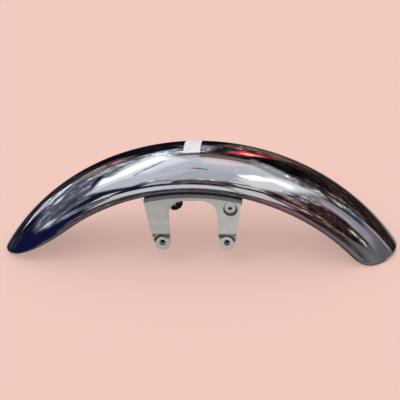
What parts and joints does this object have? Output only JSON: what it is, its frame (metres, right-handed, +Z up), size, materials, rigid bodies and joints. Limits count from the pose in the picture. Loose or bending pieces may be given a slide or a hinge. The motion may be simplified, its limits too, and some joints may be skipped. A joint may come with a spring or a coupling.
{
  "type": "motorcycle front mudguard",
  "caption": "Chrome steel front mudguard with an arched crown, its edge rolled in all round, and a pressed fork stay with bolt legs on both sides.",
  "frame": {"origin": "on the floor that both ends stand on, under the middle of the mudguard, in the plane that halves it lengthwise", "axes": "+X from the nose to the tail, -Y the left side with the hose boss, +Z up through the crown"},
  "size_m": [0.5462, 0.146, 0.15],
  "materials": {
    "chrome_sheet": "polished chrome plate, lightly worn",
    "stay_paint": "satin warm grey, dusty in the corners",
    "label_paper": "blank white paper tape"
  },
  "bodies": {
    "root": {"mudguard_shell": "chrome_sheet", "fork_stay": "stay_paint", "weld_nuts": "stay_paint", "hose_boss": "stay_paint"}
  },
  "joints": []
}
